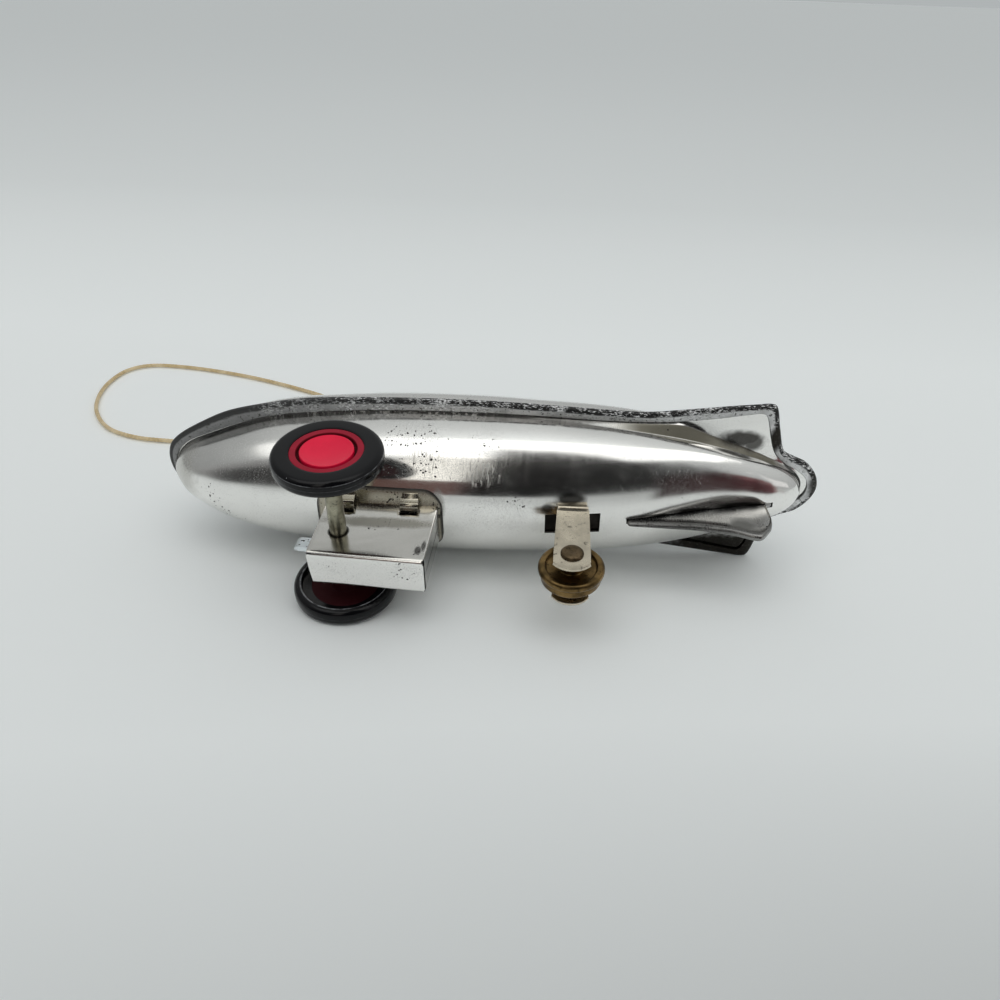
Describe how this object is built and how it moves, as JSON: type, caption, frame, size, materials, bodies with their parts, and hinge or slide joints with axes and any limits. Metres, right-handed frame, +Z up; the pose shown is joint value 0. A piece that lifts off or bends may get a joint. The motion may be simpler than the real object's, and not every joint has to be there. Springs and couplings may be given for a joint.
{
  "type": "airship tin ornament",
  "caption": "Pressed tin airship with a seamed hull, tail fins, a boxed gondola on red-hubbed front wheels, a brass rear wheel in a riveted bracket, and a hanging cord",
  "frame": {"origin": "the middle of the bottom of the box round the ornament without its cord, where it lies on its starboard side", "axes": "+X runs from the nose to the tail, +Z up from the surface that it lies on, through its port side, and +Y towards its top fin, so the gondola and the wheels are on the -Y side"},
  "size_m": [0.1514, 0.1062, 0.031],
  "materials": {
    "bright_tin": "bright tinplate, polished, with fine pits and grey worn edges",
    "nickel_strip": "warm nickel plate, satin",
    "rivet_metal": "dark brown tarnished brass",
    "wheel_brass": "turned brass, tarnished",
    "axle_steel": "plated steel wire, slightly dull",
    "black_tyre": "glossy black, lightly scratched",
    "red_hub": "matt pinkish red",
    "red_cap": "glossy bright red",
    "gold_cord": "fine twisted cream and gold thread"
  },
  "bodies": {
    "hull": {"lower_hull": "bright_tin", "upper_hull": "bright_tin", "lower_fin": "bright_tin", "upper_fin": "bright_tin", "gondola_saddle": "bright_tin", "gondola_shell": "bright_tin", "gondola_front_panel": "bright_tin", "rear_bracket": "nickel_strip", "rear_axle_pin": "rivet_metal", "hanger_eye": "axle_steel", "hanging_cord": "gold_cord", "cord_knot": "gold_cord"},
    "axle": {"front_axle": "axle_steel"},
    "port_wheel": {"port_tyre": "black_tyre", "port_hub": "red_hub", "port_hub_cap": "red_cap"},
    "starboard_wheel": {"starboard_tyre": "black_tyre", "starboard_hub": "red_hub", "starboard_hub_cap": "red_cap"},
    "rear_roller": {"rear_wheel": "wheel_brass"}
  },
  "joints": [
    {"name": "axle_slide", "type": "slide", "parent": "hull", "child": "axle", "axis": [0.0233, 0.1746, -0.9844], "range_m": [0, 0.0091]},
    {"name": "port_wheel_spin", "type": "hinge", "parent": "axle", "child": "port_wheel", "pos_m": [-0.02071, -0.01342, 0.01038], "axis": [0.0233, 0.1746, -0.9844], "continuous": true},
    {"name": "starboard_wheel_spin", "type": "hinge", "parent": "axle", "child": "starboard_wheel", "pos_m": [-0.02071, -0.01342, 0.01038], "axis": [0.0233, 0.1746, -0.9844], "continuous": true},
    {"name": "rear_wheel_spin", "type": "hinge", "parent": "hull", "child": "rear_roller", "pos_m": [0.01479, -0.01637, 0.0107], "axis": [0.0233, 0.1746, -0.9844], "continuous": true}
  ]
}
